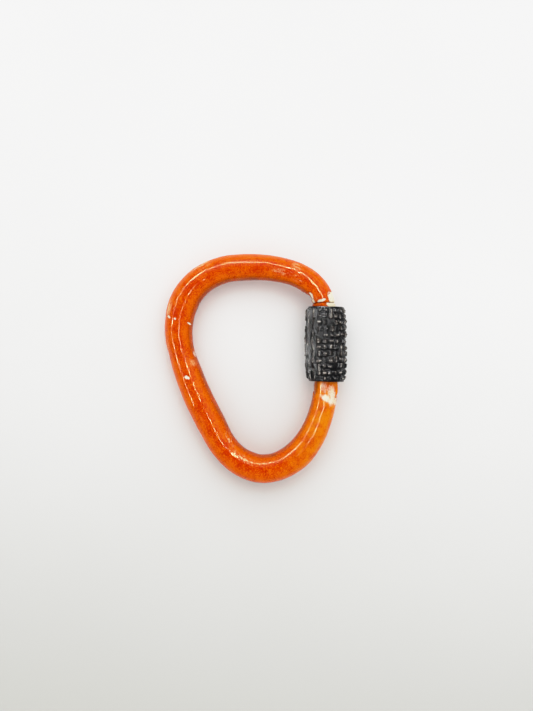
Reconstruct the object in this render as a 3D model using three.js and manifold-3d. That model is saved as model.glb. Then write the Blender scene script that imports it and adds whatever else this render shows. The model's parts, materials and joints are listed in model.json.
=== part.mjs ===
// A pocket-sized screw-sleeve carabiner for keys, in millimetres, +Z up.
//
// The ring lies flat in the XY plane with its middle at the origin. Its round bar swells and
// thins like a hand-rolled coil of clay. The right-hand side of the ring is a gate: a rod that
// hinges inward on a pin in the fork at the foot of the ring, and whose top meets the nose.
// A sleeve on the gate runs on a screw thread. Turned down, as here, it leaves the gate free.
// Turned up two turns, it rides over the joint with the nose and locks the gate shut.

import * as THREE from 'three';
import { mergeVertices } from 'three/addons/utils/BufferGeometryUtils.js';
import Module from 'manifold-3d';

const wasm = await Module();
wasm.setup();

// ---------------------------------------------------------------- driving dimensions

const PIVOT = { x: 21.9, y: -6.4 };
const GATE_TIP_RADIUS = 26.85;
const NOSE_FACE_RADIUS = 27.15;

// Centre line of the bar from the fork, round the foot, up the back, to the nose: x, y, diameter.
const BAR_LINE = [
  [21.9, 1.0, 7.4],
  [21.9, -3.0, 7.4],
  [21.6, -8.0, 7.5],
  [20.3, -14.0, 7.65],
  [17.3, -21.4, 8.3],
  [12.8, -27.1, 8.8],
  [7.0, -30.6, 8.8],
  [1.0, -31.4, 8.8],
  [-5.4, -29.0, 8.6],
  [-10.2, -24.2, 8.5],
  [-14.3, -17.0, 8.9],
  [-18.0, -9.6, 9.0],
  [-21.4, -1.4, 8.5],
  [-23.6, 5.5, 8.0],
  [-24.5, 12.4, 8.8],
  [-22.8, 21.0, 9.15],
  [-18.2, 27.2, 8.8],
  [-11.0, 30.9, 8.4],
  [-2.6, 31.9, 8.3],
  [6.2, 31.3, 7.8],
  [13.2, 29.4, 7.5],
  [17.6, 26.5, 7.4],
  [20.1, 23.4, 7.2],
  [21.1, 20.4, 7.1],
  [21.4, 18.6, 7.1],
];
const BAR_STEPS = 84;
const BAR_SIDES = 24;

const FORK_RADIUS = 3.85;
const FORK_SLOT_RADIUS = 3.95;
const FORK_SLOT_HALF = 1.95;
const PLUNGER_POCKET = { left: -3.2, right: 0.9, floor: -4.65, half: 1.15 };
const TANG_HALF = 1.65;
const TANG_RADIUS = 3.6;
const PIVOT_PIN_RADIUS = 0.8;
const PIVOT_PIN_FRONT = 2.9;
const PIVOT_PIN_BACK = -3.55;
const PRESS_GAP = 0.04;
const RUNNING_GAP = 0.08;

const ROD_RADIUS = 3.6;
const ROD_FOOT = PIVOT.y + 4.3;
const COLLAR_RADIUS = 4.6;
const COLLAR_FOOT = 13.7;
const COLLAR_TOP = 15.0;
const TIP_RADIUS = 3.5;

// A right-hand knuckle thread: a round ridge on the rod, and a wider round groove in the nut.
const THREAD_PITCH = 1.25;
const THREAD_LINE_RADIUS = 3.72;
const RIDGE_RADIUS = 0.38;
const GROOVE_RADIUS = 0.53;
const RIDGE_FOOT = 5.0;
const RIDGE_TOP = 13.4;
const THREAD_STEPS_PER_TURN = 20;
const THREAD_SECTION_SIDES = 6;

// The rod's leaning tip: offset in x from the pivot, and height above the collar.
const TIP_LINE = [[0, -1], [0, 0.6], [-0.3, 2.8], [-0.95, 6.4]];
const TIP_STEPS = 8;
const TIP_CUT_FOOT = 17;
const NOSE_CUT_FOOT = 14.9;
const NOSE_CUT_TOP = 25.9;
const NOSE_FACE_TOP = 21.5;

const TONGUE_HALF = 0.8;
const TONGUE_TOP_RADIUS = 30.7;
const TONGUE_LEFT = 18.9;
const TONGUE_RIGHT = 22.1;
const NOSE_SLOT_HALF = 1.05;
const NOSE_SLOT_TOP_RADIUS = 31.1;
const LATCH_GAP = 0.35;
const NOSE_PIN = { x: 20.5, y: 22.9, radius: 0.6, half: 1.55 };
const NOSE_PIN_CHANNEL_HALF = 1.8;

const SPRING_OFFSET = -2.2;
const SPRING_BORE_RADIUS = 1.0;
const SPRING_BORE_TOP = PIVOT.y + 8.9;
const SPRING_WIRE_RADIUS = 0.14;
const SPRING_TURNS = 9;
const SPRING_STEPS_PER_TURN = 10;
const SPRING_WIRE_SIDES = 5;
const SPRING_COIL_GAP = 0.15;
const SPRING_END_GAP = 0.06;
const PLUNGER_RADIUS = 0.8;
const PLUNGER_TIP = PIVOT.y - 4.3;
const PLUNGER_HEAD = PIVOT.y - 1.0;

const SLEEVE_X = PIVOT.x;
const SLEEVE_FOOT = -4.2;
const SLEEVE_TOP = 19.9;
const SLEEVE_MOUTH_RADIUS = 5.4;
const SLEEVE_MOUTH_FOOT = 16.4;
const NUT_BORE_TOP = 16.0;
const SLEEVE_LOWER_BORE = 4.85;
const NUT_RADIUS = 5.15;
const NUT_BORE = 3.85;
const NUT_FOOT = 4.9;
const NUT_TOP = 10.9;
const SEAT_GAP = 0.05;
const STOP_RING = { foot: 3.4, top: 4.4, inner: 3.3, outer: 4.5 };
const DRAG_RING = { foot: -0.8, top: 0.2, inner: 3.72, outer: 5.25 };
const DRAG_GROOVE_SPARE = 0.15;

// The sleeve's barrel, the same from each end: how far in, and the radius there.
const SLEEVE_BARREL = [[0, 5.65], [0.9, 6.1], [2.6, 6.45], [5, 6.65], [9, 6.7]];

const ROUND_SIDES = 32;
const PIN_SIDES = 20;
const FORK_SIDES = 48;
const ARC_SIDES = 160;
const PLUNGER_ARC_STEPS = 4;
const WELD_DISTANCE = 1e-4;

// How far a cutting block reaches, to pass right through the bar.
const CUT_REACH = 9;

// ---------------------------------------------------------------- solids and booleans

function solid(geometry) {
  const bare = geometry.clone();
  bare.deleteAttribute('normal');
  bare.deleteAttribute('uv');
  const merged = mergeVertices(bare, WELD_DISTANCE);
  const mesh = new wasm.Mesh({
    numProp: 3,
    vertProperties: Float32Array.from(merged.attributes.position.array),
    triVerts: Uint32Array.from(merged.index.array),
  });
  return new wasm.Manifold(mesh);
}

function geometryOf(manifold) {
  const mesh = manifold.getMesh();
  const geometry = new THREE.BufferGeometry();
  geometry.setAttribute('position', new THREE.BufferAttribute(mesh.vertProperties, 3));
  geometry.setIndex(new THREE.BufferAttribute(mesh.triVerts, 1));
  geometry.computeVertexNormals();
  return geometry;
}

// Flat facets face along the axes, because the polygon is turned by half a side.
function uprightCylinder(x, foot, top, radius, sides = ROUND_SIDES) {
  const geometry = new THREE.CylinderGeometry(radius, radius, top - foot, sides);
  geometry.rotateY(Math.PI / sides);
  geometry.translate(x, (foot + top) / 2, 0);
  return solid(geometry);
}

function crossCylinder(x, y, back, front, radius, sides = PIN_SIDES) {
  const geometry = new THREE.CylinderGeometry(radius, radius, front - back, sides);
  geometry.rotateX(Math.PI / 2);
  geometry.translate(x, y, (back + front) / 2);
  return solid(geometry);
}

function block(left, right, foot, top, back, front) {
  const geometry = new THREE.BoxGeometry(right - left, top - foot, front - back);
  geometry.translate((left + right) / 2, (foot + top) / 2, (back + front) / 2);
  return solid(geometry);
}

// A section with a flat side facing each way along its axes, where its count of sides allows it.
function polygon(sides, cornerRadius) {
  const corners = [];
  for (let i = 0; i < sides; i += 1) {
    const angle = (2 * Math.PI * (i + 0.5)) / sides;
    corners.push(new THREE.Vector2(cornerRadius * Math.cos(angle), cornerRadius * Math.sin(angle)));
  }
  return new THREE.Shape(corners);
}

// A ring turned about an upright axis: the profile is pairs of radius and height.
function turned(profile, sides = ROUND_SIDES) {
  const points = profile.map(([radius, height]) => new THREE.Vector2(radius, height));
  const geometry = new THREE.LatheGeometry(points, sides);
  geometry.rotateY(Math.PI / sides);
  geometry.translate(SLEEVE_X, 0, 0);
  return geometry;
}

function closedTurned(profile, sides = ROUND_SIDES) {
  return solid(turned([...profile, profile[0]], sides));
}

// A band between two radii about the pivot, cut to a box.
function pivotBand(inner, outer, box) {
  const { x, y } = PIVOT;
  const disc = crossCylinder(x, y, -CUT_REACH, CUT_REACH, outer, ARC_SIDES);
  const core = crossCylinder(x, y, -CUT_REACH - 1, CUT_REACH + 1, inner, ARC_SIDES);
  return disc.subtract(core).intersect(block(...box));
}

// ---------------------------------------------------------------- the swelling bar

// Diameter of the bar at a point, read off the nearest leg of the centre line.
function barDiameter(point) {
  let nearest = Infinity;
  let diameter = 0;
  for (let i = 1; i < BAR_LINE.length; i += 1) {
    const [x0, y0, d0] = BAR_LINE[i - 1];
    const [x1, y1, d1] = BAR_LINE[i];
    const along = new THREE.Vector2(x1 - x0, y1 - y0);
    const offset = new THREE.Vector2(point.x - x0, point.y - y0);
    const share = THREE.MathUtils.clamp(offset.dot(along) / along.lengthSq(), 0, 1);
    const gap = offset.sub(along.multiplyScalar(share)).length();
    if (gap < nearest) {
      nearest = gap;
      diameter = THREE.MathUtils.lerp(d0, d1, share);
    }
  }
  return diameter;
}

// The bar is drawn as a thin wire of 1 mm radius, then each ring of it is opened to its size.
function sweptBar(line, steps, sides, diameterAt) {
  const path = new THREE.CatmullRomCurve3(line.map(([x, y]) => new THREE.Vector3(x, y, 0)));
  const section = polygon(sides, 1 / Math.cos(Math.PI / sides));
  const options = { steps, extrudePath: path, bevelEnabled: false };
  const geometry = new THREE.ExtrudeGeometry(section, options);
  const stations = path.getSpacedPoints(steps);
  const radii = stations.map((station) => diameterAt(station) / 2);
  const position = geometry.attributes.position;
  const vertex = new THREE.Vector3();
  for (let i = 0; i < position.count; i += 1) {
    vertex.fromBufferAttribute(position, i);
    const distances = stations.map((station) => station.distanceToSquared(vertex));
    const own = distances.indexOf(Math.min(...distances));
    vertex.sub(stations[own]).multiplyScalar(radii[own]).add(stations[own]);
    position.setXYZ(i, vertex.x, vertex.y, vertex.z);
  }
  return solid(geometry);
}

// ---------------------------------------------------------------- helices

// A round wire that climbs an upright axis, turning the way a right-hand screw does.
function helixWire(axisX, foot, top, coilRadius, pitch, wireRadius, sides, stepsPerTurn) {
  const steps = Math.round(((top - foot) / pitch) * stepsPerTurn);
  const points = [];
  for (let i = 0; i <= steps; i += 1) {
    const height = THREE.MathUtils.lerp(foot, top, i / steps);
    const angle = (2 * Math.PI * height) / pitch;
    const x = axisX + coilRadius * Math.cos(angle);
    points.push(new THREE.Vector3(x, height, -coilRadius * Math.sin(angle)));
  }
  const path = new THREE.CatmullRomCurve3(points);
  return solid(new THREE.ExtrudeGeometry(polygon(sides, wireRadius), {
    steps, bevelEnabled: false, extrudePath: path,
  }));
}

function threadWire(foot, top, wireRadius) {
  return helixWire(
    PIVOT.x, foot, top, THREAD_LINE_RADIUS, THREAD_PITCH, wireRadius,
    THREAD_SECTION_SIDES, THREAD_STEPS_PER_TURN);
}

// ---------------------------------------------------------------- pieces

function makeFrame() {
  const { x, y } = PIVOT;
  const wide = CUT_REACH;
  let frame = sweptBar(BAR_LINE, BAR_STEPS, BAR_SIDES, barDiameter);

  // The fork's round top, its slot with a round floor, the flat-floored pocket that the spring
  // plunger bears in, and the blind hole for the pivot pin.
  const forkRound = crossCylinder(x, y, -wide, wide, FORK_RADIUS, FORK_SIDES);
  const aboveFork = block(x - wide, x + wide, y, y + wide, -wide, wide).subtract(forkRound);
  const slot = crossCylinder(
    x, y, -FORK_SLOT_HALF, FORK_SLOT_HALF, FORK_SLOT_RADIUS, FORK_SIDES);
  const { left, right, floor, half } = PLUNGER_POCKET;
  const pocket = block(x + left, x + right, y + floor, y, -half, half);
  const hole = crossCylinder(
    x, y, -wide, PIVOT_PIN_FRONT + PRESS_GAP, PIVOT_PIN_RADIUS + PRESS_GAP);
  frame = frame.subtract(aboveFork).subtract(slot).subtract(pocket).subtract(hole);

  // The nose's end face, the slot for the gate's tongue, and the channel for its cross pin.
  const slotRight = TONGUE_RIGHT + LATCH_GAP;
  const endFace = pivotBand(
    1, NOSE_FACE_RADIUS, [x - wide, x + wide, NOSE_CUT_FOOT, NOSE_FACE_TOP, -wide, wide]);
  const tongueSlot = pivotBand(
    NOSE_FACE_RADIUS - 1, NOSE_SLOT_TOP_RADIUS,
    [x - wide, slotRight, NOSE_CUT_FOOT, NOSE_CUT_TOP, -NOSE_SLOT_HALF, NOSE_SLOT_HALF]);
  const pinReach = Math.hypot(NOSE_PIN.x - x, NOSE_PIN.y - y);
  const pinHalf = NOSE_PIN.radius + LATCH_GAP;
  const pinChannel = pivotBand(
    pinReach - pinHalf, pinReach + pinHalf,
    [x - wide, NOSE_PIN.x + pinHalf, NOSE_CUT_FOOT, NOSE_CUT_TOP,
      -NOSE_PIN_CHANNEL_HALF, NOSE_PIN_CHANNEL_HALF]);
  return frame.subtract(endFace).subtract(tongueSlot).subtract(pinChannel);
}

function makeGate() {
  const { x, y } = PIVOT;
  const wide = CUT_REACH;

  // The rod, milled to a tang with a round end where it enters the fork.
  const rod = uprightCylinder(x, y - TANG_RADIUS - 1, COLLAR_TOP, ROD_RADIUS);
  const tang = block(x - wide, x + wide, y - wide, ROD_FOOT, -TANG_HALF, TANG_HALF);
  const aboveTang = block(x - wide, x + wide, ROD_FOOT, COLLAR_TOP + 1, -wide, wide);
  const tangRound = crossCylinder(x, y, -wide, wide, TANG_RADIUS, FORK_SIDES);
  const belowPivot = block(x - wide, x + wide, y - wide, y, -wide, wide).subtract(tangRound);
  let gate = rod.intersect(tang.add(aboveTang)).subtract(belowPivot);

  // The screw thread, the collar that stops the nut, and the groove for the stop ring.
  gate = gate.add(threadWire(RIDGE_FOOT, RIDGE_TOP, RIDGE_RADIUS));
  gate = gate.add(uprightCylinder(x, COLLAR_FOOT, COLLAR_TOP, COLLAR_RADIUS));
  const grooveFoot = STOP_RING.foot - SEAT_GAP;
  const grooveTop = STOP_RING.top + SEAT_GAP;
  const groove = closedTurned([
    [STOP_RING.inner - SEAT_GAP, grooveFoot],
    [ROD_RADIUS + 1, grooveFoot],
    [ROD_RADIUS + 1, grooveTop],
    [STOP_RING.inner - SEAT_GAP, grooveTop],
  ]);
  gate = gate.subtract(groove);

  // The tip leans inward to meet the nose, and carries the tongue.
  const tipLine = TIP_LINE.map(([offset, height]) => [x + offset, COLLAR_TOP + height]);
  const tip = sweptBar(tipLine, TIP_STEPS, BAR_SIDES, () => 2 * TIP_RADIUS);
  const cutTop = TIP_CUT_FOOT + wide;
  const beyondTip = pivotBand(
    GATE_TIP_RADIUS, GATE_TIP_RADIUS + wide,
    [x - wide, x + wide, TIP_CUT_FOOT, cutTop, -wide, wide]);
  gate = gate.add(tip.subtract(beyondTip));
  const tongue = pivotBand(
    GATE_TIP_RADIUS - 2, TONGUE_TOP_RADIUS,
    [TONGUE_LEFT, TONGUE_RIGHT, TIP_CUT_FOOT, cutTop, -TONGUE_HALF, TONGUE_HALF]);
  gate = gate.add(tongue);

  // Holes for the nose pin and the pivot pin, and the blind bore for the closing spring.
  const nosePinHole = crossCylinder(
    NOSE_PIN.x, NOSE_PIN.y, -wide, wide, NOSE_PIN.radius + PRESS_GAP);
  const pivotHole = crossCylinder(x, y, -wide, wide, PIVOT_PIN_RADIUS + RUNNING_GAP);
  const springBore = uprightCylinder(
    x + SPRING_OFFSET, y - wide, SPRING_BORE_TOP, SPRING_BORE_RADIUS, PIN_SIDES);
  return gate.subtract(nosePinHole).subtract(pivotHole).subtract(springBore);
}

function makeSpring() {
  const coilRadius = SPRING_BORE_RADIUS - SPRING_COIL_GAP - SPRING_WIRE_RADIUS;
  const foot = PLUNGER_HEAD + SPRING_END_GAP + SPRING_WIRE_RADIUS;
  const top = SPRING_BORE_TOP - SPRING_END_GAP - SPRING_WIRE_RADIUS;
  const pitch = (top - foot) / SPRING_TURNS;
  return helixWire(
    PIVOT.x + SPRING_OFFSET, foot, top, coilRadius, pitch, SPRING_WIRE_RADIUS,
    SPRING_WIRE_SIDES, SPRING_STEPS_PER_TURN);
}

function makePlunger() {
  const radius = PLUNGER_RADIUS;
  const profile = [];
  for (let i = 0; i <= PLUNGER_ARC_STEPS; i += 1) {
    const angle = (Math.PI / 2) * (i / PLUNGER_ARC_STEPS);
    profile.push([radius * Math.sin(angle), PLUNGER_TIP + radius * (1 - Math.cos(angle))]);
  }
  profile.push([radius, PLUNGER_HEAD], [0, PLUNGER_HEAD]);
  const geometry = turned(profile, PIN_SIDES);
  geometry.translate(SPRING_OFFSET, 0, 0);
  return solid(geometry);
}

// The grip: a barrel with rounded ends, bored in steps from each end, with a groove for the
// drag ring. The nut drops in from the top onto the step.
function makeSleeveShell() {
  const nutBore = NUT_RADIUS + SEAT_GAP;
  const grooveFoot = DRAG_RING.foot - DRAG_GROOVE_SPARE;
  const grooveTop = DRAG_RING.top + DRAG_GROOVE_SPARE;
  const grooveRadius = DRAG_RING.outer + DRAG_GROOVE_SPARE;
  const step = NUT_FOOT - SEAT_GAP;
  const lowerHalf = SLEEVE_BARREL.map(([inset, radius]) => [radius, SLEEVE_FOOT + inset]);
  const upperHalf = SLEEVE_BARREL.map(([inset, radius]) => [radius, SLEEVE_TOP - inset]);
  return closedTurned([
    [SLEEVE_LOWER_BORE, SLEEVE_FOOT],
    ...lowerHalf,
    ...upperHalf.reverse(),
    [SLEEVE_MOUTH_RADIUS, SLEEVE_TOP],
    [SLEEVE_MOUTH_RADIUS, SLEEVE_MOUTH_FOOT],
    [nutBore, NUT_BORE_TOP],
    [nutBore, step],
    [SLEEVE_LOWER_BORE, step],
    [SLEEVE_LOWER_BORE, grooveTop],
    [grooveRadius, grooveTop],
    [grooveRadius, grooveFoot],
    [SLEEVE_LOWER_BORE, grooveFoot],
  ]);
}

function makeNut() {
  const blank = makeRing({ foot: NUT_FOOT, top: NUT_TOP, inner: NUT_BORE, outer: NUT_RADIUS });
  return blank.subtract(threadWire(NUT_FOOT - 1, NUT_TOP + 1, GROOVE_RADIUS));
}

function makeRing({ foot, top, inner, outer }) {
  const edge = 0.2;
  return closedTurned([
    [inner, foot],
    [outer - edge, foot],
    [outer, foot + edge],
    [outer, top - edge],
    [outer - edge, top],
    [inner, top],
  ]);
}

// ---------------------------------------------------------------- assembly

const GLAZE = { color: 0xe0640f, roughness: 0.22, metalness: 0 };
const CHARCOAL = { color: 0x3c3c3e, roughness: 0.45, metalness: 0 };
const STEEL = { color: 0xb9bcc0, roughness: 0.3, metalness: 1 };
const BRASS = { color: 0xc49a48, roughness: 0.35, metalness: 1 };
const RUBBER = { color: 0x1d1d1e, roughness: 0.8, metalness: 0 };

const carabiner = new THREE.Group();
carabiner.name = 'carabiner_keyring';

function place(name, piece, look) {
  const mesh = new THREE.Mesh(geometryOf(piece), new THREE.MeshStandardMaterial(look));
  mesh.name = name;
  carabiner.add(mesh);
}

const pivotPin = crossCylinder(
  PIVOT.x, PIVOT.y, PIVOT_PIN_BACK, PIVOT_PIN_FRONT, PIVOT_PIN_RADIUS);
const nosePin = crossCylinder(
  NOSE_PIN.x, NOSE_PIN.y, -NOSE_PIN.half, NOSE_PIN.half, NOSE_PIN.radius);

place('frame', makeFrame(), GLAZE);
place('pivot_pin', pivotPin, STEEL);
place('gate', makeGate(), GLAZE);
place('nose_pin', nosePin, STEEL);
place('gate_spring', makeSpring(), STEEL);
place('spring_plunger', makePlunger(), STEEL);
place('stop_ring', makeRing(STOP_RING), STEEL);
place('drag_ring', makeRing(DRAG_RING), RUBBER);
place('sleeve_nut', makeNut(), BRASS);
place('sleeve_shell', makeSleeveShell(), CHARCOAL);

export default carabiner;
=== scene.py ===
"""Looks for the carabiner keyring: glazed ring and gate, woven-textured sleeve, steel and brass inside.

Lengths are metres, in the CAD model's frame: the ring lies in XY and its front faces +Z. Places and
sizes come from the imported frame, and MM turns the millimetres of surface detail into metres.
"""

import json
import math

import bmesh
import bpy
import numpy as np
from mathutils import Matrix, Vector, noise


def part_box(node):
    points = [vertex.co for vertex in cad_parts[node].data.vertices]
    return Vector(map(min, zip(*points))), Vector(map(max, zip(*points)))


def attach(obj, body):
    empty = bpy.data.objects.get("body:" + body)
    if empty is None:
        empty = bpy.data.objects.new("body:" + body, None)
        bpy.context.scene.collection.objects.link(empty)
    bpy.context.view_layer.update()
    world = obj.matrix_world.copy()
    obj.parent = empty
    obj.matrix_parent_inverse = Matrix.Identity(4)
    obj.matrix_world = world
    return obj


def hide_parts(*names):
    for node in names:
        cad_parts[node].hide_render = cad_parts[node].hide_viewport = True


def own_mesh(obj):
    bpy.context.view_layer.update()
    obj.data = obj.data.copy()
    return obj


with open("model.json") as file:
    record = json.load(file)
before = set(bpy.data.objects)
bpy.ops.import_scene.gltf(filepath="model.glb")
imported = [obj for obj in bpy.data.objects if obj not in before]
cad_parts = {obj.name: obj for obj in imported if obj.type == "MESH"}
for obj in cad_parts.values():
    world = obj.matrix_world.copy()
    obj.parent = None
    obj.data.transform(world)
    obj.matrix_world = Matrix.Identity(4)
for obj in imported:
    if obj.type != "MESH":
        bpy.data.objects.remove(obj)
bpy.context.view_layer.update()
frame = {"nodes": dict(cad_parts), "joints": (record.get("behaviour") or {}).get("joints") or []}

MM = 0.001
JOINTS = {joint["name"]: joint for joint in frame["joints"]}
SLEEVE_AXIS = Vector(JOINTS["sleeve_turn"]["pos_m"])
SEED = 11


# ---------------------------------------------------------------- colours

def srgb(red, green, blue):
    """A display colour, 0 to 255, as the linear RGBA that a shader takes."""
    shares = [c / 255 for c in (red, green, blue)]
    linear = [c / 12.92 if c <= 0.04045 else ((c + 0.055) / 1.055) ** 2.4 for c in shares]
    return (*linear, 1.0)


GLAZE_BRIGHT = srgb(222, 94, 0)
GLAZE_RED = srgb(184, 40, 0)
# Deep red for specks, chip rims and the inner edge, where it is partly painted shade.
GLAZE_DEEP = srgb(118, 32, 0)
GLAZE_GOLD = srgb(236, 140, 6)
GLAZE_HAZE = srgb(240, 186, 126)
BODY_CREAM = srgb(234, 225, 200)
BODY_STAIN = srgb(206, 182, 140)
CHARCOAL = srgb(20, 21, 24)
CHARCOAL_WARM = srgb(42, 34, 28)
# Near black for the painted shade in the weave's hollows.
CHARCOAL_HOLLOW_SHADE = srgb(4, 4, 6)
# Pale crests of the weave: rubbed wear and painted highlight.
CHARCOAL_CREST_RUB_AND_HIGHLIGHT = srgb(186, 178, 168)
STEEL = srgb(190, 192, 196)
STEEL_DARK = srgb(120, 122, 126)
BRASS = srgb(206, 164, 84)
BRASS_DARK = srgb(126, 92, 44)
RUBBER = srgb(24, 24, 25)
RUBBER_DUST = srgb(58, 57, 55)
PAPER = srgb(241, 241, 239)
# A greyer paper, for faint clouds and for the painted shade of the floor's falloff.
PAPER_SHADE = srgb(184, 184, 179)
SPECULAR_WARM = (1.0, 0.68, 0.36, 1.0)


# ---------------------------------------------------------------- node graphs

class Graph:
    """A material's node tree, with short calls for the nodes that this file uses."""

    def __init__(self, name):
        self.material = bpy.data.materials.new(name)
        self.material.use_nodes = True
        self.tree = self.material.node_tree
        self.shader = self.tree.nodes["Principled BSDF"]

    def join(self, value, socket):
        if isinstance(value, bpy.types.NodeSocket):
            self.tree.links.new(value, socket)
        else:
            socket.default_value = value

    def node(self, kind, inputs, **settings):
        made = self.tree.nodes.new(kind)
        for key, value in settings.items():
            setattr(made, key, value)
        for key, value in inputs.items():
            self.join(value, made.inputs[key])
        return made

    def attribute(self, name):
        return self.node("ShaderNodeAttribute", {}, attribute_name=name).outputs["Fac"]

    def place(self, scale):
        """The point's place in the row frame, times scale."""
        source = self.node("ShaderNodeTexCoord", {}).outputs["Object"]
        factor = (scale, scale, scale)
        return self.node("ShaderNodeMapping", {"Vector": source, "Scale": factor}).outputs["Vector"]

    def vector(self, x, y, z):
        return self.node("ShaderNodeCombineXYZ", {"X": x, "Y": y, "Z": z}).outputs["Vector"]

    def noise(self, vector, scale, detail=3.0, roughness=0.5):
        inputs = {"Vector": vector, "Scale": scale, "Detail": detail, "Roughness": roughness}
        return self.node("ShaderNodeTexNoise", inputs).outputs["Fac"]

    def math(self, operation, a, b=0.0):
        return self.node("ShaderNodeMath", {0: a, 1: b}, operation=operation).outputs[0]

    def step(self, value, low, high, out_low=0.0, out_high=1.0):
        """Rises smoothly from out_low to out_high as value goes from low to high."""
        inputs = {"Value": value, "From Min": low, "From Max": high,
                  "To Min": out_low, "To Max": out_high}
        node = self.node("ShaderNodeMapRange", inputs, interpolation_type="SMOOTHSTEP")
        return node.outputs["Result"]

    def mix(self, factor, a, b):
        node = self.node("ShaderNodeMix", {}, data_type="RGBA")
        self.join(factor, node.inputs[0])
        self.join(a, node.inputs[6])
        self.join(b, node.inputs[7])
        return node.outputs[2]

    def blend(self, factor, a, b):
        node = self.node("ShaderNodeMix", {}, data_type="FLOAT")
        self.join(factor, node.inputs[0])
        self.join(a, node.inputs[2])
        self.join(b, node.inputs[3])
        return node.outputs[0]

    def bump(self, height, depth, strength=1.0):
        inputs = {"Height": height, "Distance": depth, "Strength": strength}
        self.join(self.node("ShaderNodeBump", inputs).outputs["Normal"], self.shader.inputs["Normal"])

    def finish(self, colour, roughness, **sockets):
        self.join(colour, self.shader.inputs["Base Color"])
        self.join(roughness, self.shader.inputs["Roughness"])
        for name, value in sockets.items():
            self.join(value, self.shader.inputs[name.replace("_", " ")])
        return self.material


def glaze_material():
    """Orange glaze on a cream body: mottled, redder along the crown as painted shade, and bare where it
    is chipped.
    """
    g = Graph("orange_glaze")
    place = g.place(1 / MM)
    along = g.attribute("along")
    across = g.attribute("across")
    bare = g.attribute("bare")
    haze = g.attribute("haze")
    brushed = g.attribute("brushed")
    thin = g.attribute("thin")
    height = g.node("ShaderNodeSeparateXYZ", {"Vector": place}).outputs["Z"]

    mottle = g.noise(place, 0.35, 4.0, 0.55)
    speck = g.noise(place, 2.4, 4.0, 0.65)
    round_bar = g.vector(
        g.math("MULTIPLY", along, 3.0), g.math("MULTIPLY", across, 1.5),
        g.math("MULTIPLY", height, 0.4))
    streak = g.noise(round_bar, 1.0, 4.0, 0.6)
    along_bar = g.vector(g.math("MULTIPLY", along, 0.35), g.math("MULTIPLY", across, 5.0), height)
    stroke = g.noise(along_bar, 1.0, 4.0, 0.6)

    tone = g.math("ADD", g.math("MULTIPLY", mottle, 0.35), g.math("MULTIPLY", speck, 0.45))
    tone = g.math("ADD", tone, g.math("MULTIPLY", streak, 0.2))
    # Painted shade: the crown is made redder to stand in for the dark overhead that it reflects.
    crown_shade = g.step(g.math("ABSOLUTE", across), 0.7, 0.1, 0.0, 0.09)
    tone = g.math("SUBTRACT", tone, crown_shade)
    colour = g.mix(g.step(tone, 0.34, 0.56), GLAZE_RED, GLAZE_BRIGHT)
    colour = g.mix(g.math("MULTIPLY", thin, g.step(mottle, 0.35, 0.6, 0.2, 0.6)), colour, GLAZE_GOLD)
    # The inner edge is painted deeper: glaze pooled there, and painted shade on the side that faces into
    # the ring.
    inner_pool_and_shade = g.math("MULTIPLY", g.step(across, -0.55, -0.95), g.step(mottle, 0.3, 0.7, 0.35, 0.85))
    colour = g.mix(inner_pool_and_shade, colour, GLAZE_DEEP)
    colour = g.mix(g.step(speck, 0.45, 0.31, 0.0, 0.4), colour, GLAZE_DEEP)
    colour = g.mix(g.step(speck, 0.55, 0.69, 0.0, 0.5), colour, GLAZE_GOLD)
    flecks = g.math("ADD", stroke, g.math("MULTIPLY", speck, 0.5))
    hazed = g.math("MULTIPLY", haze, g.step(flecks, 0.73, 0.87))
    colour = g.mix(hazed, colour, GLAZE_HAZE)

    worn = g.math("ADD", brushed, g.math("MULTIPLY", g.math("SUBTRACT", stroke, 0.5), 1.1))
    worn = g.math("ADD", worn, g.math("MULTIPLY", g.math("SUBTRACT", speck, 0.5), 0.7))
    washed = g.math("MULTIPLY", g.step(worn, 0.3, 1.05, 0.0, 0.92), g.step(brushed, 0.05, 0.3))
    colour = g.mix(washed, colour, BODY_CREAM)

    ragged = g.math("ADD", g.math("MULTIPLY", g.math("SUBTRACT", speck, 0.5), 0.5),
                    g.math("MULTIPLY", g.math("SUBTRACT", mottle, 0.5), 0.3))
    edge = g.math("ADD", bare, g.math("MULTIPLY", ragged, g.step(bare, 0.02, 0.3)))
    rim = g.math("MULTIPLY", g.step(edge, 0.3, 0.44), 0.4)
    colour = g.mix(rim, colour, GLAZE_DEEP)
    open_body = g.step(edge, 0.44, 0.52)
    body = g.mix(g.step(speck, 0.45, 0.75), BODY_CREAM, BODY_STAIN)
    colour = g.mix(open_body, colour, body)

    roughness = g.step(mottle, 0.3, 0.7, 0.05, 0.1)
    roughness = g.blend(hazed, roughness, 0.35)
    roughness = g.blend(washed, roughness, 0.4)
    roughness = g.blend(open_body, roughness, 0.62)
    relief = g.math("ADD", g.math("MULTIPLY", mottle, 0.8), g.math("MULTIPLY", speck, 0.2))
    relief = g.math("ADD", relief, g.math("MULTIPLY", streak, 0.12))
    relief = g.math("SUBTRACT", relief, g.math("MULTIPLY", open_body, 0.5))
    g.bump(relief, 0.06 * MM, 0.5)
    return g.finish(colour, roughness, Specular_IOR_Level=0.14, Specular_Tint=SPECULAR_WARM)


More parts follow.
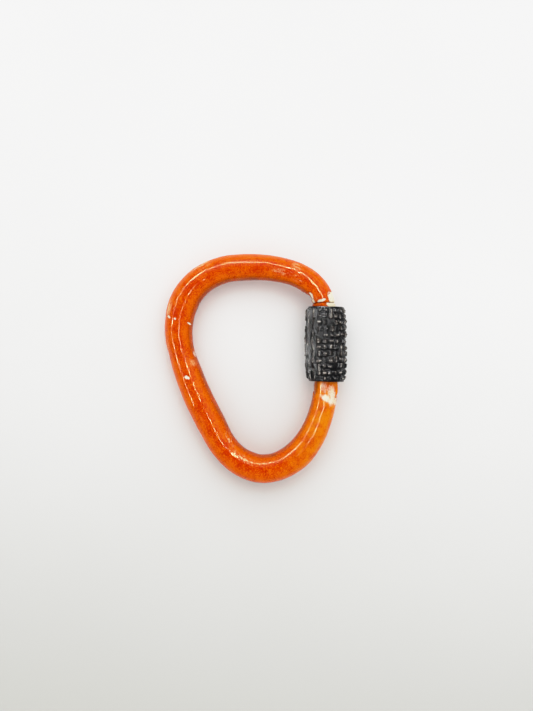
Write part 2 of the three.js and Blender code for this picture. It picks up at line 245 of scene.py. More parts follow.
def charcoal_material():
    """Dark satin glaze, with painted shade in the hollows of the weave, and its crests pale as rubbed
    wear and painted highlight.
    """
    g = Graph("charcoal_glaze")
    place = g.place(1 / MM)
    crest = g.attribute("crest")
    patchy = g.noise(place, 0.28, 3.0)
    mottle = g.noise(place, 1.3, 5.0, 0.65)
    fine = g.noise(place, 5.5, 4.0, 0.7)
    colour = g.mix(g.step(patchy, 0.45, 0.62, 0.0, 0.85), CHARCOAL, CHARCOAL_WARM)
    # Painted shade: the hollows of the weave are made near black.
    hollow_shade = g.step(crest, 0.7, 0.42)
    colour = g.mix(hollow_shade, colour, CHARCOAL_HOLLOW_SHADE)
    # The crests are painted pale: rubbed wear, and a painted highlight for the glints on them.
    crest_rub_and_highlight = g.math("MULTIPLY", g.step(crest, 0.7, 0.92), g.step(mottle, 0.4, 0.58, 0.0, 0.9))
    colour = g.mix(crest_rub_and_highlight, colour, CHARCOAL_CREST_RUB_AND_HIGHLIGHT)
    roughness = g.step(mottle, 0.3, 0.7, 0.1, 0.24)
    relief = g.math("ADD", g.math("MULTIPLY", mottle, 0.6), g.math("MULTIPLY", fine, 0.4))
    g.bump(relief, 0.12 * MM, 0.8)
    return g.finish(colour, roughness, Specular_IOR_Level=0.17)


def metal_material(name, bright, dark, roughness):
    """Drawn metal with fine lines round it and a light tarnish."""
    g = Graph(name)
    place = g.place(1 / MM)
    x, y, z = (g.node("ShaderNodeSeparateXYZ", {"Vector": place}).outputs[c] for c in "XYZ")
    lines = g.noise(g.vector(g.math("MULTIPLY", x, 0.6), g.math("MULTIPLY", y, 14.0), z), 1.0, 3.0)
    tarnish = g.noise(place, 1.1, 4.0, 0.6)
    colour = g.mix(g.step(tarnish, 0.42, 0.7, 0.05, 0.75), bright, dark)
    rough = g.step(lines, 0.3, 0.7, roughness - 0.08, roughness + 0.1)
    g.bump(lines, 0.02 * MM, 0.5)
    return g.finish(colour, rough, Metallic=1.0)


def rubber_material():
    g = Graph("rubber")
    place = g.place(1 / MM)
    dust = g.noise(place, 1.6, 5.0, 0.65)
    grain = g.noise(place, 9.0, 2.0)
    colour = g.mix(g.step(dust, 0.5, 0.72, 0.0, 0.6), RUBBER, RUBBER_DUST)
    g.bump(grain, 0.02 * MM, 0.6)
    return g.finish(colour, g.step(dust, 0.3, 0.7, 0.62, 0.8))


# ---------------------------------------------------------------- mesh helpers

def link(obj):
    bpy.context.scene.collection.objects.link(obj)
    return obj


def from_arrays(name, points, faces):
    mesh = bpy.data.meshes.new(name)
    mesh.from_pydata(points.tolist(), [], faces.tolist())
    mesh.validate()
    mesh.shade_smooth()
    return link(bpy.data.objects.new(name, mesh))


def grid_faces(rows, columns, closed_rows=False):
    """Quads over a rows by columns grid of points whose columns wrap round."""
    row = np.arange(rows if closed_rows else rows - 1)[:, None]
    column = np.arange(columns)[None, :]
    up = (row + 1) % rows
    beside = (column + 1) % columns
    corners = (row * columns + column, row * columns + beside,
               up * columns + beside, up * columns + column)
    return np.stack([c.ravel() for c in np.broadcast_arrays(*corners)], axis=1)


def turned(name, profile, axis_point, along="Y", sides=72):
    """A closed ring or, where the profile starts and ends at radius 0, a solid of revolution.

    The profile is (radius, place along the axis) pairs, in metres, listed anticlockwise.
    """
    profile = np.array(profile, float)
    angle = np.linspace(0, 2 * math.pi, sides, endpoint=False)
    radius = profile[:, :1]
    first = radius * np.cos(angle)
    second = radius * np.sin(angle)
    level = np.broadcast_to(profile[:, 1:], first.shape)
    if along == "Y":
        points = np.stack([axis_point[0] + first, level, axis_point[2] - second], axis=2)
    else:
        points = np.stack([axis_point[0] + first, axis_point[1] + second, level], axis=2)
    faces = grid_faces(len(profile), sides, closed_rows=True)
    piece = from_arrays(name, points.reshape(-1, 3), faces)
    mesh = bmesh.new()
    mesh.from_mesh(piece.data)
    bmesh.ops.remove_doubles(mesh, verts=mesh.verts, dist=1e-8)
    bmesh.ops.dissolve_degenerate(mesh, edges=mesh.edges, dist=1e-9)
    bmesh.ops.recalc_face_normals(mesh, faces=mesh.faces)
    mesh.to_mesh(piece.data)
    mesh.free()
    piece.data.shade_smooth()
    return piece


def rounded(profile, radius, steps=4):
    """The closed profile with each corner cut back by an arc-like curve of about that radius."""
    points = [np.array(p, float) for p in profile]
    out = []
    for i, corner in enumerate(points):
        before = points[i - 1] - corner
        after = points[(i + 1) % len(points)] - corner
        reach = min(radius, 0.45 * np.linalg.norm(before), 0.45 * np.linalg.norm(after))
        start = corner + before / np.linalg.norm(before) * reach
        end = corner + after / np.linalg.norm(after) * reach
        for k in range(steps + 1):
            t = k / steps
            out.append((1 - t) ** 2 * start + 2 * t * (1 - t) * corner + t ** 2 * end)
    return out


def bake_modifiers(piece):
    evaluated = piece.evaluated_get(bpy.context.evaluated_depsgraph_get())
    mesh = bpy.data.meshes.new_from_object(evaluated)
    piece.modifiers.clear()
    piece.data = mesh
    return piece


def remeshed_copy(node, name, voxel, smoothing):
    """The CAD node's own shape on a fine even mesh, with its facets and edges softened."""
    mesh = frame["nodes"][node].data.copy()
    welded = bmesh.new()
    welded.from_mesh(mesh)
    bmesh.ops.remove_doubles(welded, verts=welded.verts, dist=1e-7)
    welded.to_mesh(mesh)
    welded.free()
    mesh.materials.clear()
    piece = link(bpy.data.objects.new(name, mesh))
    remesh = piece.modifiers.new("even", "REMESH")
    remesh.mode = "VOXEL"
    remesh.voxel_size = voxel
    smooth = piece.modifiers.new("soften", "SMOOTH")
    smooth.factor = 0.5
    smooth.iterations = smoothing
    bake_modifiers(piece)
    piece.data.shade_smooth()
    return piece


def vertices(mesh):
    flat = np.empty(len(mesh.vertices) * 3)
    mesh.vertices.foreach_get("co", flat)
    return flat.reshape(-1, 3)


def normals(mesh):
    flat = np.empty(len(mesh.vertices) * 3)
    mesh.vertex_normals.foreach_get("vector", flat)
    return flat.reshape(-1, 3)


def set_vertices(mesh, points):
    mesh.vertices.foreach_set("co", points.ravel())
    mesh.update()


def set_attribute(mesh, name, values):
    layer = mesh.attributes.new(name, "FLOAT", "POINT")
    layer.data.foreach_set("value", np.asarray(values, np.float32))


def wobble(points, size, offset):
    """Smooth noise from about -1 to 1, with features of that size, one value a point."""
    shift = Vector((offset, 2.3 * offset, 5.1 * offset))
    return np.array([noise.noise(Vector(p) / size + shift) for p in points])


def rise(value, low, high):
    share = np.clip((value - low) / (high - low), 0, 1)
    return share * share * (3 - 2 * share)


def dress(piece, node, body, material):
    """Gives a finished piece its material, hangs it on its body's empty, and hides the CAD node that it
    stands for.
    """
    piece.data.materials.clear()
    piece.data.materials.append(material)
    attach(piece, body)
    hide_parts(node)
    return piece


# ---------------------------------------------------------------- glazed ring and gate

RING_MIDDLE = Vector((0, 2.6 * MM, 0))
SEAM_BEARING = math.radians(12)

# Chips through the glaze: bearing in degrees anticlockwise from +X about RING_MIDDLE, place across
# the bar from -1 inside to 1 outside, half length along and half width across in mm, depth in mm,
# and the side that shows it, 1 for the front and -1 for the back.
RING_CHIPS = [
    (153.3, 0.64, 0.40, 0.60, 0.20, 1),
    (152.6, 0.18, 0.30, 0.34, 0.12, 1),
    (151.0, -0.76, 0.24, 0.62, 0.12, 1),
    (193.6, 0.14, 0.52, 0.52, 0.22, 1),
    (194.7, 0.02, 0.40, 0.36, 0.18, 1),
    (48.7, -0.84, 1.50, 0.32, 0.14, 1),
    (46.3, -0.90, 0.80, 0.40, 0.12, 1),
    (42.9, -0.60, 0.45, 0.62, 0.06, 1),
    (41.9, -0.42, 0.45, 0.66, 0.06, 1),
    (37.0, 0.66, 3.10, 1.35, 0.05, 1),
    (118.0, 0.30, 0.50, 0.70, 0.16, -1),
    (203.0, 0.75, 0.45, 0.80, 0.18, -1),
    (262.0, -0.20, 0.90, 0.45, 0.10, -1),
    (282.0, 0.55, 0.35, 0.45, 0.14, -1),
    (40.5, 0.10, 0.80, 1.20, 0.06, -1),
    (74.0, 0.86, 0.50, 0.40, 0.10, -1),
]

# Where the glaze was brushed thin over the body: bearing, place across, half length, half width,
# strength and side.
RING_BRUSHED = [
    (331.8, 0.32, 1.0, 3.0, 0.95, 1),
    (335.0, 0.55, 3.0, 1.6, 0.85, 1),
    (338.0, -0.30, 1.8, 1.2, 0.6, 1),
    (38.0, 0.78, 2.8, 1.1, 0.6, 1),
    (174.0, -0.95, 1.0, 0.4, 0.75, 1),
    (334.0, -0.10, 1.6, 2.6, 0.8, -1),
    (39.0, 0.20, 1.8, 1.8, 0.6, -1),
    (205.0, -0.30, 2.4, 1.0, 0.5, -1),
]

# Pale scuffs, as flecks that run along the bar: bearing, place across, half length, half width,
# strength and side.
RING_HAZES = [
    (120.8, 0.84, 2.4, 1.2, 0.9, 1),
    (148.6, 0.84, 2.2, 0.9, 0.8, 1),
    (172.0, 0.86, 2.2, 0.6, 0.4, 1),
    (182.0, -0.62, 0.8, 0.8, 0.6, 1),
    (263.0, -0.34, 2.6, 0.8, 0.8, 1),
    (251.8, -0.62, 1.6, 0.7, 0.7, 1),
    (274.5, -0.34, 1.0, 0.5, 0.8, 1),
    (71.0, -0.20, 3.4, 0.7, 0.7, 1),
    (63.0, -0.30, 1.4, 0.7, 0.6, 1),
    (66.0, 0.62, 1.4, 0.8, 0.55, 1),
    (95.0, 0.20, 5.0, 1.6, 0.4, -1),
    (300.0, -0.10, 4.0, 1.6, 0.5, -1),
    (170.0, 0.40, 4.0, 1.4, 0.5, -1),
]

# The same three lists for the gate.
GATE_CHIPS = [(35.4, 0.82, 1.6, 1.3, 0.03, 1)]
GATE_BRUSHED = [(343.0, -0.2, 1.2, 1.0, 0.5, 1)]
GATE_HAZES = [(36.0, 0.1, 1.0, 2.0, 0.3, 1)]

# Thickness of glaze over the CAD surface, in mm, at heights Y in mm: almost none on the gate's
# thread.
RING_GROWTH = ([-40, 40], [0.09, 0.09])
GATE_GROWTH = ([-5.2, -4.2, 16, 18], [0.2, 0.02, 0.02, 0.09])

# How far the hand-made surface swells and sinks, and the meshes' voxel size and rounds of softening.
RING_SWELL = 0.15 * MM
GATE_SWELL = 0.02 * MM
RING_VOXEL = 0.25 * MM
RING_SOFTENING = 16
GATE_VOXEL = 0.14 * MM
GATE_SOFTENING = 5
RING_SECTORS = 180


def ring_coordinates(points):
    """For each point: bearing round the ring, length along the bar, place across it, half width."""
    x = points[:, 0] - RING_MIDDLE.x
    y = points[:, 1] - RING_MIDDLE.y
    reach = np.hypot(x, y)
    bearing = np.arctan2(y, x)
    turn = (bearing - SEAM_BEARING) % (2 * math.pi)
    sector = np.minimum((turn / (2 * math.pi) * RING_SECTORS).astype(int), RING_SECTORS - 1)
    inner = np.full(RING_SECTORS, np.inf)
    outer = np.zeros(RING_SECTORS)
    np.minimum.at(inner, sector, reach)
    np.maximum.at(outer, sector, reach)
    filled = outer > 0
    middles = (np.arange(RING_SECTORS) + 0.5) / RING_SECTORS * 2 * math.pi
    inner = np.interp(turn, middles[filled], inner[filled])
    outer = np.interp(turn, middles[filled], outer[filled])
    half = (outer - inner) / 2
    across = (reach - (inner + outer) / 2) / half
    along = turn * (inner + outer) / 2
    return bearing, along, across, half


def worn_field(points, bearing, across, half, spot):
    """1 in the middle of a spot, 0 well outside it, falling through 0.5 at its stated edge."""
    degrees, place, length, width, side = spot
    off = (bearing - math.radians(degrees) + math.pi) % (2 * math.pi) - math.pi
    reach = np.hypot(points[:, 0] - RING_MIDDLE.x, points[:, 1] - RING_MIDDLE.y)
    run = off * reach / (length * MM)
    gap = (across - place) * half / (width * MM)
    facing = rise(points[:, 2] * side, -1.2 * MM, 0.3 * MM)
    return facing * np.clip(1 - 0.5 * np.hypot(run, gap), 0, 1)


def wear_glaze(piece, swell, growth, chips, brushed_places, hazes):
    """Gives a glazed piece its coat, hand-made swell, chips, haze and the attributes its glaze reads."""
    mesh = piece.data
    points = vertices(mesh)
    outward = normals(mesh)
    bearing, along, across, half = ring_coordinates(points)

    def field_of(spot):
        return worn_field(points, bearing, across, half, (*spot[:4], spot[5]))

    bare = np.zeros(len(points))
    sink = np.zeros(len(points))
    for spot in chips:
        field = field_of(spot)
        depth = spot[4] * MM
        bare = np.maximum(bare, field)
        sink = np.maximum(sink, depth * rise(field, 0.42, 0.58))
    brushed = np.zeros(len(points))
    for spot in brushed_places:
        brushed = np.maximum(brushed, spot[4] * rise(field_of(spot), 0.15, 0.8))
    haze = np.zeros(len(points))
    for spot in hazes:
        haze = np.maximum(haze, spot[4] * rise(field_of(spot), 0.15, 0.7))
    grown = np.interp(points[:, 1] / MM, *growth) * MM
    shape = swell * (0.7 * wobble(points, 7 * MM, 1.7) + 0.3 * wobble(points, 2.6 * MM, 4.1))
    set_vertices(mesh, points + outward * (grown + shape - sink)[:, None])
    set_attribute(mesh, "along", along / MM)
    set_attribute(mesh, "across", across)
    set_attribute(mesh, "bare", bare)
    set_attribute(mesh, "brushed", brushed)
    set_attribute(mesh, "haze", haze)
    # The glaze is thinner, and so more golden, on the leg below the sleeve.
    thin = rise(points[:, 0], 4 * MM, 24 * MM) * rise(-points[:, 1], -4 * MM, 6 * MM)
    set_attribute(mesh, "thin", thin)


def make_ring(glaze):
    piece = remeshed_copy("frame", "glazed_ring", RING_VOXEL, RING_SOFTENING)
    wear_glaze(piece, RING_SWELL, RING_GROWTH, RING_CHIPS, RING_BRUSHED, RING_HAZES)
    return dress(piece, "frame", "ring", glaze)


def make_gate(glaze):
    piece = remeshed_copy("gate", "glazed_gate", GATE_VOXEL, GATE_SOFTENING)
    wear_glaze(piece, GATE_SWELL, GATE_GROWTH, GATE_CHIPS, GATE_BRUSHED, GATE_HAZES)
    return dress(piece, "gate", "gate", glaze)


# ---------------------------------------------------------------- woven sleeve

WEAVE_COLUMNS = 21
WEAVE_ROWS = 12
WEAVE_RELIEF = 0.9 * MM
# How far a full crest stands past the CAD sleeve, how far a strand wanders, in cells, the height of
# an end that is not carried on, and the depth of the grooves between its fibres.
WEAVE_PROUD = 0.08 * MM
WEAVE_DRIFT = 0.38
STRAND_END = 0.08
FIBRE_GROOVE = 0.26
# The sleeve's radius and length in mm, for placing the weave's noise.
NOISE_RADIUS = 6.7
NOISE_LENGTH = 24
WEAVE_RIM = 0.6 * MM
RIM_CREST = 0.56
BORE_CREST = 0.45
RIM_SLOPE = 0.35 * MM
# The photo's sleeve is a little shorter than the CAD's, so the mesh stops short of both its ends.
TOP_TRIM = 0.45 * MM
FOOT_TRIM = 0.15 * MM
RIM_LIP = 0.05 * MM
SLEEVE_COLUMNS = 352
SLEEVE_ROWS = 240


def sleeve_outline():
    """Height and outer radius of the CAD sleeve's profile points, from its foot to its top."""
    points = vertices(frame["nodes"]["sleeve_shell"].data)
    reach = np.hypot(points[:, 0] - SLEEVE_AXIS.x, points[:, 2])
    heights = np.unique(np.round(points[:, 1], 6))
    radii = np.array([reach[np.abs(points[:, 1] - h) < 2e-6].max() for h in heights])
    shell = radii > radii.max() * 0.83
    return heights[shell], radii[shell]


def strand(share, run, joins_before, joins_after, grooves, narrowness=0.0):
    """The height of a rounded strand of three fibres.

    Share goes across it and run along it, both from 0 to 1. An end dips unless the next cell
    carries the strand on.
    """
    dome = np.sin(math.pi * np.clip(share, 0, 1)) ** (0.75 + narrowness)
    dome = dome * (1 - grooves * (0.5 - 0.5 * np.cos(6 * math.pi * (share - 0.5))))
    start = np.where(joins_before, 1.0, STRAND_END + (1 - STRAND_END) * rise(run, 0.0, 0.24))
    end = np.where(joins_after, 1.0, STRAND_END + (1 - STRAND_END) * rise(1 - run, 0.0, 0.24))
    return dome * start * end


def weave_height(angle, height_share):
    """The relief of a hand-pressed basket weave, from 0 in its hollows to about 1 on its crests."""
    random = np.random.default_rng(SEED)
    shape = (WEAVE_COLUMNS, WEAVE_ROWS)
    middle = (np.arange(WEAVE_COLUMNS) + 0.5) / WEAVE_COLUMNS * 2 * math.pi
    # Upright ribs run long on the side towards the ring's middle, and short on the other side.
    inward = rise(-np.cos(middle), 0.15, 0.8)
    upright = random.random(shape) < (0.42 + 0.55 * inward)[:, None]
    outer = np.cos(middle) > 0.35
    checker = (np.arange(WEAVE_COLUMNS)[:, None] + np.arange(WEAVE_ROWS)[None, :]) % 2 == 0
    upright = np.where(outer[:, None] & (random.random(shape) < 0.75), checker, upright)
    lift = random.uniform(0.72, 1.0, shape)
    lift = np.where(random.random(shape) < 0.1, random.uniform(0.2, 0.45, shape), lift)
    joined_up = random.random(shape) < (0.3 + 0.65 * inward)[:, None]
    joined_round = random.random(shape) < 0.22

    place = np.stack([np.cos(angle) * NOISE_RADIUS, height_share * NOISE_LENGTH,
                      np.sin(angle) * NOISE_RADIUS], axis=-1)
    flat = place.reshape(-1, 3)
    drift_u = wobble(flat, 4.2, 3.3).reshape(angle.shape)
    drift_v = wobble(flat, 3.6, 8.9).reshape(angle.shape)
    u = angle / (2 * math.pi) * WEAVE_COLUMNS + WEAVE_DRIFT * drift_u
    v = height_share * WEAVE_ROWS + WEAVE_DRIFT * drift_v
    column = np.floor(u).astype(int) % WEAVE_COLUMNS
    row = np.clip(np.floor(v).astype(int), 0, WEAVE_ROWS - 1)
    across = u - np.floor(u)
    up = np.clip(v - row, 0, 1)
    below = np.maximum(row - 1, 0)
    above = np.minimum(row + 1, WEAVE_ROWS - 1)
    before = (column - 1) % WEAVE_COLUMNS
    after = (column + 1) % WEAVE_COLUMNS
    rib = strand(across, up, upright[column, below] & joined_up[column, below],
                 upright[column, above] & joined_up[column, row],
                 FIBRE_GROOVE - 0.1 * inward[column], 1.1 * inward[column])
    band = strand(up, across, ~upright[before, row] & joined_round[before, row],
                  ~upright[after, row] & joined_round[column, row], FIBRE_GROOVE)
    woven = np.where(upright[column, row], rib, band) * lift[column, row]
    fibre = 0.13 * wobble(flat, 0.9, 6.2).reshape(angle.shape)
    nap = 0.12 * wobble(flat, 0.4, 2.9).reshape(angle.shape)
    return np.clip(0.08 + 0.92 * woven + fibre + nap, 0, 1.1)


def sleeve_bores():
    """The bore's profile from the top rim down to the foot, as (radius, height) pairs."""
    low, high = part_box("sleeve_shell")
    nut_low, nut_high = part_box("sleeve_nut")
    ring_low, ring_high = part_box("drag_ring")
    nut_radius = (nut_high.z - nut_low.z) / 2 + 0.05 * MM
    ring_radius = (ring_high.z - ring_low.z) / 2 + 0.15 * MM
    lower = nut_radius - 0.35 * MM
    mouth = nut_radius + 0.2 * MM
    spare = 0.15 * MM
    return [
        (mouth, high.y - TOP_TRIM - RIM_LIP),
        (mouth, high.y - 3.5 * MM),
        (nut_radius, high.y - 3.9 * MM),
        (nut_radius, nut_low.y - 0.05 * MM),
        (lower, nut_low.y - 0.05 * MM),
        (lower, ring_high.y + spare),
        (ring_radius, ring_high.y + spare),
        (ring_radius, ring_low.y - spare),
        (lower, ring_low.y - spare),
        (lower, low.y + FOOT_TRIM + RIM_LIP),
    ]


def make_sleeve(charcoal):
    heights, radii = sleeve_outline()
    foot, top = heights[0] + FOOT_TRIM, heights[-1] - TOP_TRIM
    level = np.linspace(foot, top, SLEEVE_ROWS)
    outline = np.interp(level, heights, radii)
    kernel = np.hanning(17)
    outline = np.convolve(np.pad(outline, 8, mode="edge"), kernel / kernel.sum(), mode="valid")
    angle = np.linspace(0, 2 * math.pi, SLEEVE_COLUMNS, endpoint=False)
    angles, levels = np.meshgrid(angle, level)
    woven = weave_height(angles, (levels - foot) / (top - foot))
    inside_rims = np.minimum(levels - foot, top - levels)
    fade = rise(inside_rims, 0.5 * WEAVE_RIM, 1.7 * WEAVE_RIM)
    crest = fade * woven + (1 - fade) * (RIM_CREST + 0.1 * np.sin(3 * angles + 1))
    reach = outline[:, None] + WEAVE_PROUD - WEAVE_RELIEF * (1 - crest)
    # The rims are not quite square to the sleeve's axis.
    share = (levels - foot) / (top - foot)
    levels = levels - RIM_SLOPE * rise(np.cos(angles), -0.6, 1.0) * rise(share, 0.75, 1.0)
    levels = levels + RIM_SLOPE * rise(-np.cos(angles), -0.4, 1.0) * rise(share, 0.2, 0.0)
    # The rims roll over into the bore, which is plain.
    bore = rounded(sleeve_bores(), 0.18 * MM, 3)[1:-1]
    bore_reach = np.array([p[0] for p in bore])[:, None] * np.ones(SLEEVE_COLUMNS)
    bore_level = np.array([p[1] for p in bore])[:, None] * np.ones(SLEEVE_COLUMNS)
    reach = np.concatenate([reach, bore_reach])
    levels = np.concatenate([levels, bore_level])
    angles = np.concatenate([angles, np.broadcast_to(angle, bore_level.shape)])
    crest = np.concatenate([crest, np.full(bore_level.shape, BORE_CREST)])
    points = np.stack([SLEEVE_AXIS.x + reach * np.cos(angles), levels,
                       SLEEVE_AXIS.z + reach * np.sin(angles)], axis=2)
    piece = from_arrays("woven_sleeve", points.reshape(-1, 3),
                        grid_faces(len(reach), SLEEVE_COLUMNS, closed_rows=True)[:, ::-1])
    set_attribute(piece.data, "crest", crest.ravel())
    return dress(piece, "sleeve_shell", "sleeve", charcoal)


# ---------------------------------------------------------------- hardware

def pin_profile(node, dome, chamfer):
    """A pin along Z with a chamfer at its far end and a slightly domed, peened near end."""
    low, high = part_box(node)
    radius = (high.x - low.x) / 2
    return [
        (0, low.z), (radius - 2 * chamfer, low.z), (radius, low.z + dome),
        (radius, high.z - chamfer), (radius - chamfer, high.z), (0, high.z),
    ]


def make_pin(node, name, body, steel):
    low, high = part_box(node)
    centre = (low + high) / 2
    profile = pin_profile(node, 0.12 * MM, 0.12 * MM)
    edges = rounded(profile[1:-1], 0.06 * MM)
    soft = [(0, low.z)] + [tuple(p) for p in edges] + [(0, high.z)]
    piece = turned(name, soft, centre, along="Z", sides=48)
    return dress(piece, node, body, steel)


def make_plunger(steel):
    low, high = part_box("spring_plunger")
    centre = (low + high) / 2
    radius = (high.x - low.x) / 2
    arc = [math.pi / 2 * i / 10 for i in range(11)]
    profile = [(radius * math.sin(a), low.y + radius * (1 - math.cos(a))) for a in arc]
    neck = 0.12 * MM
    profile += [
        (radius, high.y - 0.7 * MM), (radius - neck, high.y - 0.62 * MM),
        (radius - neck, high.y - 0.45 * MM), (radius, high.y - 0.37 * MM),
        (radius, high.y - neck), (radius - neck, high.y), (0, high.y),
    ]
    piece = turned("plunger_pin", profile, centre, sides=40)
    return dress(piece, "spring_plunger", "plunger", steel)


def make_spring(steel):
    """A compression spring with closed end coils, as one swept tube."""
    low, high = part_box("gate_spring")
    centre = (low + high) / 2
    wire = 0.14 * MM
    coil = (high.x - low.x) / 2 - wire
    open_turns = 9
    closed = 1.25
    turns = open_turns + 2 * closed
    steps = int(turns * 30)
    t = np.linspace(0, turns, steps)
    open_share = np.clip((t - closed) / open_turns, 0, 1)
    end_rise = 2 * wire * closed
    run = high.y - low.y - 2 * wire - 2 * end_rise
    level = low.y + wire + run * open_share + end_rise * (
        np.clip(t / closed, 0, 1) + np.clip((t - closed - open_turns) / closed, 0, 1))
    angle = 2 * math.pi * t
    path = np.stack([centre.x + coil * np.cos(angle), level, centre.z - coil * np.sin(angle)], axis=1)
    tangent = np.gradient(path, axis=0)
    tangent /= np.linalg.norm(tangent, axis=1)[:, None]
    radial = np.stack([np.cos(angle), np.zeros(steps), -np.sin(angle)], axis=1)
    binormal = np.cross(tangent, radial)
    sides = 10
    turn = np.linspace(0, 2 * math.pi, sides, endpoint=False)
    ring = (np.cos(turn)[None, :, None] * radial[:, None, :]
            + np.sin(turn)[None, :, None] * binormal[:, None, :])
    points = (path[:, None, :] + wire * ring).reshape(-1, 3)
    piece = from_arrays("closing_spring", points, grid_faces(steps, sides))
    mesh = bmesh.new()
    mesh.from_mesh(piece.data)
    bmesh.ops.holes_fill(mesh, edges=[e for e in mesh.edges if e.is_boundary], sides=sides)
    bmesh.ops.recalc_face_normals(mesh, faces=mesh.faces)
    mesh.to_mesh(piece.data)
    mesh.free()
    piece.data.shade_smooth()
    dress(piece, "gate_spring", "gate", steel)
    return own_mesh(piece)


def make_rings(steel, rubber):
    """The steel stop ring and the rubber drag ring, each as a closed turned ring."""
    for node, name, body, slot, material, soft in (
        ("stop_ring", "snap_ring", "gate", "steel", steel, 0.12 * MM),
        ("drag_ring", "rubber_ring", "drag_ring", "rubber", rubber, 0.45 * MM),
    ):
        low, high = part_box(node)
        outer = (high.z - low.z) / 2
        points = vertices(frame["nodes"][node].data)
        inner = np.hypot(points[:, 0] - SLEEVE_AXIS.x, points[:, 2]).min()
        square = [(inner, low.y), (outer, low.y), (outer, high.y), (inner, high.y)]
        piece = turned(name, rounded(square, soft, 5), SLEEVE_AXIS, sides=96)
        dress(piece, node, body, material)


def make_nut(brass):
    piece = remeshed_copy("sleeve_nut", "threaded_nut", 0.12 * MM, 3)
    return dress(piece, "sleeve_nut", "sleeve", brass)


# ---------------------------------------------------------------- stage

def resting_plane():
    """Tilt about Y and distance below the origin of the surface that the sleeve and back lie on."""
    sleeve_low, sleeve_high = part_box("sleeve_shell")
    ring_low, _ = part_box("frame")
    sleeve_radius = (sleeve_high.z - sleeve_low.z) / 2
    bar_radius = -ring_low.z
    back_x = ring_low.x + bar_radius
    tilt = math.asin((sleeve_radius - bar_radius) / (SLEEVE_AXIS.x - back_x))
    drop = sleeve_radius - SLEEVE_AXIS.x * math.sin(tilt)
    return tilt, drop


def floor_material():
    g = Graph("pale_floor")
    place = g.place(1 / MM)
    cloud = g.noise(place, 0.012, 3.0)
    tooth = g.noise(place, 1.4, 3.0)
    colour = g.mix(g.step(cloud, 0.3, 0.7, 0.0, 0.12), PAPER, PAPER_SHADE)
    x, y = (g.node("ShaderNodeSeparateXYZ", {"Vector": place}).outputs[axis] for axis in "XY")
    # Painted shade: the floor is made darker towards -Y and -X, a falloff of light painted into its
    # colour.
    painted_falloff = g.math("ADD", g.math("MULTIPLY", x, 0.15), y)
    colour = g.mix(g.step(painted_falloff, 60.0, -140.0), colour, PAPER_SHADE)
    g.bump(tooth, 0.03 * MM, 0.3)
    return g.finish(colour, 0.75, Specular_IOR_Level=0.2)


def area_light(name, target, direction, distance, size, size_y, power):
    light = bpy.data.lights.new(name, "AREA")
    light.shape = "RECTANGLE"
    light.size = size
    light.size_y = size_y
    light.energy = power
    lamp = link(bpy.data.objects.new(name, light))
    lamp.location = target + Vector(direction).normalized() * distance
    lamp.rotation_euler = (lamp.location - target).to_track_quat("Z", "Y").to_euler()
    return lamp


# The bent strip's corners, as its offset from straight above for each unit of height.
STRIP_CORNERS = [
    (0.14, -0.14), (0.12, 0.06), (0.30, 0.42), (0.12, 0.86), (-0.30, 1.02),
    (-0.80, 0.74), (-1.12, 0.10), (-1.08, -0.50),
]
STRIP_HEIGHT = 0.75
STRIP_WIDTH = 0.034
STRIP_POWER = 15.0

# The world's strength for the floor and the body of things, and for their reflections.
WORLD_STRENGTH = 1.16
WORLD_IN_REFLECTIONS = 0.34

# The display curve: scene brightness and how bright it is shown, up to SHOULDER_WHITE.
SHOULDER_WHITE = 1.4
SHOULDER_END = 0.93
SHOULDER = ((0.3, 0.3), (0.55, 0.55), (0.72, 0.72), (1.0, 0.86))

FLOOR_HALF = 4.0
LENS = 52
VIEW_HEIGHT = 223.5 * MM
VIEW_CENTRE = Vector((3.24 * MM, 4.15 * MM, 0))


def bent_strip(target):
    """A thin strip of light, bent round above the object, that draws the fine lines along the bar.

    Only reflections see it, so the shadows stay soft. Its power is STRIP_POWER watts for each
    metre of it straight above, and more with the square of the distance elsewhere.
    """
    for number, (start, end) in enumerate(zip(STRIP_CORNERS, STRIP_CORNERS[1:])):
        first = target + Vector((*start, 1)) * STRIP_HEIGHT
        last = target + Vector((*end, 1)) * STRIP_HEIGHT
        length = (last - first).length
        light = bpy.data.lights.new(f"strip_{number}", "AREA")
        light.shape = "RECTANGLE"
        light.size = length
        light.size_y = STRIP_WIDTH
        away = ((first + last) / 2 - target).length_squared
        light.energy = STRIP_POWER * length * away / STRIP_HEIGHT ** 2
        lamp = link(bpy.data.objects.new(f"strip_{number}", light))
        lamp.location = (first + last) / 2
        along = (last - first).normalized()
        back = (lamp.location - target).normalized()
        back = (back - along * back.dot(along)).normalized()
        side = back.cross(along)
        lamp.rotation_euler = Matrix((along, side, back)).transposed().to_euler()
        lamp.visible_diffuse = False


def lay_floor(tilt, place):
    mesh = bpy.data.meshes.new("floor")
    half = FLOOR_HALF
    mesh.from_pydata([(-half, -half, 0), (half, -half, 0), (half, half, 0), (-half, half, 0)],
                     [], [(0, 1, 2, 3)])
    mesh.materials.append(floor_material())
    floor = link(bpy.data.objects.new("floor", mesh))
    floor.rotation_euler = (0, tilt, 0)
    floor.location = place


def place_camera(tilt, upward):
    """A camera square to the floor, as far off as its lens needs to show VIEW_HEIGHT."""
    camera = bpy.data.cameras.new("camera")
    camera.lens = LENS
    eye = link(bpy.data.objects.new("camera", camera))
    distance = VIEW_HEIGHT / camera.sensor_width * camera.lens
    eye.location = VIEW_CENTRE + upward * distance
    eye.rotation_euler = (0, tilt, 0)
    camera.clip_start = 0.01
    bpy.context.scene.camera = eye


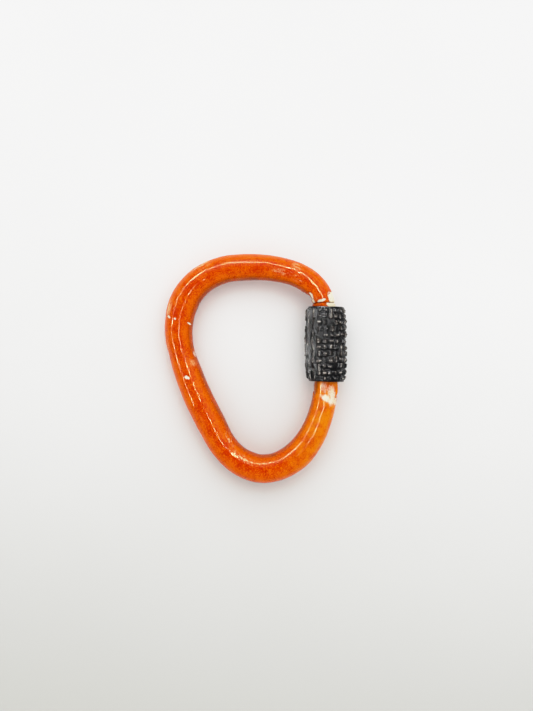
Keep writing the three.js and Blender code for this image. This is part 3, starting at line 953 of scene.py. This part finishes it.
def light_world():
    """A pale room, dimmer at the horizon and below, dark straight overhead, and dimmer in reflections."""
    world = bpy.data.worlds.new("studio")
    world.use_nodes = True
    tree = world.node_tree
    background = tree.nodes["Background"]
    direction = tree.nodes.new("ShaderNodeTexCoord")
    split = tree.nodes.new("ShaderNodeSeparateXYZ")
    ramp = tree.nodes.new("ShaderNodeValToRGB")
    for stop, level in zip(ramp.color_ramp.elements, (0.55, 1.0)):
        stop.color = (level, level, level, 1)
    ramp.color_ramp.elements[0].position = 0.0
    ramp.color_ramp.elements[1].position = 0.35
    for position, level in ((0.86, 1.0), (0.965, 0.14)):
        ramp.color_ramp.elements.new(position).color = (level, level, level, 1)
    tree.links.new(direction.outputs["Generated"], split.inputs[0])
    tree.links.new(split.outputs["Z"], ramp.inputs["Fac"])
    tree.links.new(ramp.outputs["Color"], background.inputs["Color"])
    # Reflections see the room at under a third of its brightness, which keeps the glazes deep.
    path = tree.nodes.new("ShaderNodeLightPath")
    dimmer = tree.nodes.new("ShaderNodeMapRange")
    dimmer.inputs["To Min"].default_value = WORLD_STRENGTH
    dimmer.inputs["To Max"].default_value = WORLD_IN_REFLECTIONS
    tree.links.new(path.outputs["Is Glossy Ray"], dimmer.inputs["Value"])
    tree.links.new(dimmer.outputs["Result"], background.inputs["Strength"])
    bpy.context.scene.world = world


def set_stage():
    tilt, drop = resting_plane()
    upward = Vector((math.sin(tilt), 0, math.cos(tilt)))
    lay_floor(tilt, -upward * drop)
    place_camera(tilt, upward)
    area_light("soft_top", VIEW_CENTRE, (0.35, 1.0, 1.3), 0.7, 1.0, 0.8, 3.6)
    bent_strip(VIEW_CENTRE)
    light_world()
    set_exposure()


def set_exposure():
    """A plain display transform with a soft shoulder, so that the pale floor doesn't clip."""
    view = bpy.context.scene.view_settings
    view.view_transform = "Standard"
    view.use_curve_mapping = True
    curve = view.curve_mapping
    curve.white_level = (SHOULDER_WHITE, SHOULDER_WHITE, SHOULDER_WHITE)
    points = curve.curves[3].points
    points[1].location = (1.0, SHOULDER_END)
    for level, shown in SHOULDER:
        points.new(level / SHOULDER_WHITE, shown)
    curve.update()


# ---------------------------------------------------------------- build

glaze = glaze_material()
steel = metal_material("steel", STEEL, STEEL_DARK, 0.28)
brass = metal_material("brass", BRASS, BRASS_DARK, 0.32)
rubber = rubber_material()
charcoal = charcoal_material()

make_ring(glaze)
make_gate(glaze)
make_sleeve(charcoal)
make_nut(brass)
make_pin("pivot_pin", "hinge_pin", "ring", steel)
make_pin("nose_pin", "latch_pin", "gate", steel)
make_plunger(steel)
make_spring(steel)
make_rings(steel, rubber)
set_stage()
